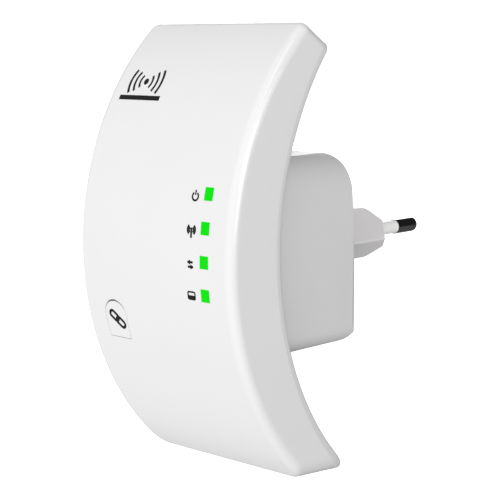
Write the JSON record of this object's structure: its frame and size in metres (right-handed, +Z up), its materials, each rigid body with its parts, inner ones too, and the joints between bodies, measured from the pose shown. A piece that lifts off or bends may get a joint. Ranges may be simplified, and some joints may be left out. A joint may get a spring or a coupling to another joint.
{
  "type": "wifi range extender",
  "caption": "Plug-in wireless range extender with a curved white case, round-pin mains plug on a rear pod, green indicators, a pairing button and a network jack.",
  "frame": {"origin": "middle of the plug's engagement face, half way between the two pins", "axes": "+Y along the pins into the wall, +Z up, +X towards the side with the indicators"},
  "size_m": [0.053, 0.0926, 0.1127],
  "materials": {
    "case_white": "smooth gloss moulded plastic",
    "pod_white": "smooth moulded plastic",
    "button_white": "smooth gloss moulded plastic",
    "plug_grey": "satin moulded plastic",
    "sleeve_white": "satin insulating plastic",
    "pin_nickel": "polished nickel plate",
    "led_green": "lit green light guide",
    "led_body": "small lamp package",
    "board_green": "solder mask over glass fibre",
    "board_tan": "bare phenolic board",
    "chip_black": "moulded epoxy",
    "can_metal": "tinned sheet",
    "contact_gold": "gold flash on spring wire",
    "terminal_brass": "tinned brass",
    "plastic_black": "moulded nylon",
    "chip_parts": "ceramic chip parts",
    "ferrite": "sintered ferrite",
    "tape_yellow": "polyester tape",
    "capacitor_sleeve": "shrink sleeve",
    "resistor_body": "lacquered ceramic",
    "disc_blue": "dipped epoxy",
    "wire_red": "wire insulation",
    "wire_black": "wire insulation",
    "lead_grey": "coaxial lead jacket",
    "antenna_copper": "tinned copper sheet",
    "screw_steel": "zinc plated steel",
    "label_paper": "blank satin label"
  },
  "bodies": {
    "housing": {"front_cover": "case_white", "rear_cover": "pod_white", "light_guide": "led_green", "plug_base": "plug_grey", "live_pin": "pin_nickel", "neutral_pin": "pin_nickel", "pin_sleeves": "sleeve_white", "pin_terminals": "terminal_brass", "radio_board": "board_green", "main_chip": "chip_black", "flash_chip": "chip_black", "rf_shield": "can_metal", "crystal": "can_metal", "indicator_leds": "led_body", "wps_switch": "plastic_black", "radio_small_parts": "chip_parts", "supply_inductor": "ferrite", "upper_antenna": "antenna_copper", "lower_antenna": "antenna_copper", "upper_antenna_lead": "lead_grey", "lower_antenna_lead": "lead_grey", "link_header": "plastic_black", "link_pins": "contact_gold", "port_board": "board_green", "jack_shield": "can_metal", "jack_housing": "plastic_black", "jack_contacts": "contact_gold", "network_transformer": "chip_black", "reset_switch": "plastic_black", "power_board": "board_tan", "transformer_core": "ferrite", "transformer_winding": "tape_yellow", "transformer_bobbin": "plastic_black", "input_capacitors": "capacitor_sleeve", "output_capacitor": "capacitor_sleeve", "fuse_resistor": "resistor_body", "input_choke": "ferrite", "bridge_rectifier": "chip_black", "power_chip": "chip_black", "safety_capacitor": "disc_blue", "output_diode": "chip_black", "supply_wire": "wire_red", "return_wire": "wire_black", "board_screws": "screw_steel", "case_screws": "screw_steel", "port_screws": "screw_steel", "rating_label": "label_paper"},
    "wps_button": {"wps_button": "button_white"},
    "wps_plunger": {"wps_plunger": "plastic_black"},
    "reset_plunger": {"reset_plunger": "plastic_black"}
  },
  "joints": [
    {"name": "wps_button_press", "type": "slide", "parent": "housing", "child": "wps_button", "axis": [0, 1, 0], "range_m": [0, 0.00035], "stiffness_N_per_m": 4000},
    {"name": "wps_plunger_press", "type": "slide", "parent": "housing", "child": "wps_plunger", "axis": [0, 1, 0], "range_m": [0, 0.00035]},
    {"name": "reset_plunger_press", "type": "slide", "parent": "housing", "child": "reset_plunger", "axis": [0, 0, 1], "range_m": [0, 0.0003], "stiffness_N_per_m": 4000}
  ],
  "couplings": [
    {"joint": "wps_plunger_press", "follows": "wps_button_press", "ratio": 1}
  ]
}
